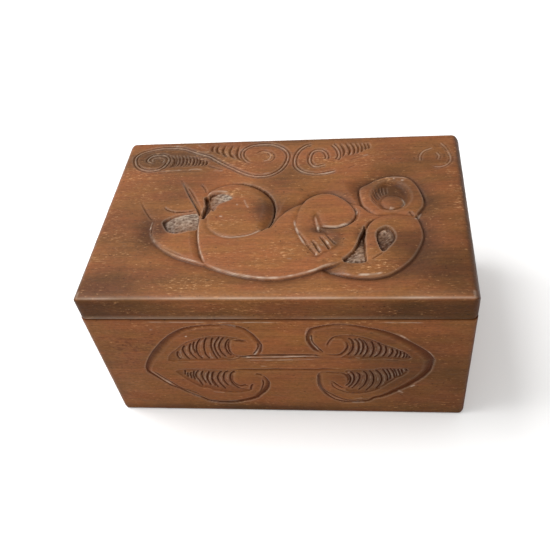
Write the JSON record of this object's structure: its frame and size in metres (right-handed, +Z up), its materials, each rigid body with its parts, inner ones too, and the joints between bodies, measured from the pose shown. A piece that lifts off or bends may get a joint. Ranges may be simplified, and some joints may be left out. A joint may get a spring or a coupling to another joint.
{
  "type": "carved wooden box",
  "caption": "Rectangular lidded box of dark wood, its thick hinged lid carved in relief with a curled figure and spirals, its front with mirrored heart scrolls.",
  "frame": {"origin": "middle of the base, on the surface that the box stands on", "axes": "+X to the box's right along its width, +Y from the carved front to the hinged back, +Z up"},
  "size_m": [0.24, 0.153, 0.121],
  "materials": {
    "carved_wood": "oiled reddish-brown timber, worn and waxed, darker in the cuts",
    "case_wood": "oiled reddish-brown timber, satin",
    "bottom_wood": "plain planed timber, unpolished",
    "aged_brass": "tarnished brass",
    "dark_iron": "dark oxidised iron"
  },
  "bodies": {
    "case": {"front_board": "carved_wood", "back_board": "case_wood", "left_end_board": "case_wood", "right_end_board": "case_wood", "bottom_board": "bottom_wood", "hinge_left_body_leaf": "aged_brass", "hinge_left_pin": "aged_brass", "hinge_right_body_leaf": "aged_brass", "hinge_right_pin": "aged_brass", "left_body_screw_1": "aged_brass", "left_body_screw_2": "aged_brass", "right_body_screw_1": "aged_brass", "right_body_screw_2": "aged_brass", "corner_nail_1": "dark_iron", "corner_nail_2": "dark_iron", "corner_nail_3": "dark_iron", "corner_nail_4": "dark_iron", "corner_nail_5": "dark_iron", "corner_nail_6": "dark_iron", "corner_nail_7": "dark_iron", "corner_nail_8": "dark_iron", "corner_nail_9": "dark_iron", "corner_nail_10": "dark_iron", "corner_nail_11": "dark_iron", "corner_nail_12": "dark_iron", "bottom_nail_1": "dark_iron", "bottom_nail_2": "dark_iron", "bottom_nail_3": "dark_iron", "bottom_nail_4": "dark_iron", "bottom_nail_5": "dark_iron", "bottom_nail_6": "dark_iron", "bottom_nail_7": "dark_iron", "bottom_nail_8": "dark_iron", "bottom_nail_9": "dark_iron", "bottom_nail_10": "dark_iron"},
    "lid": {"lid_board": "carved_wood", "hinge_left_lid_leaf": "aged_brass", "hinge_right_lid_leaf": "aged_brass", "left_lid_screw_1": "aged_brass", "left_lid_screw_2": "aged_brass", "right_lid_screw_1": "aged_brass", "right_lid_screw_2": "aged_brass"}
  },
  "joints": [
    {"name": "lid_hinge", "type": "hinge", "parent": "case", "child": "lid", "pos_m": [0, 0.07408, 0.10125], "axis": [-1, 0, 0], "range_deg": [0, 108]}
  ]
}
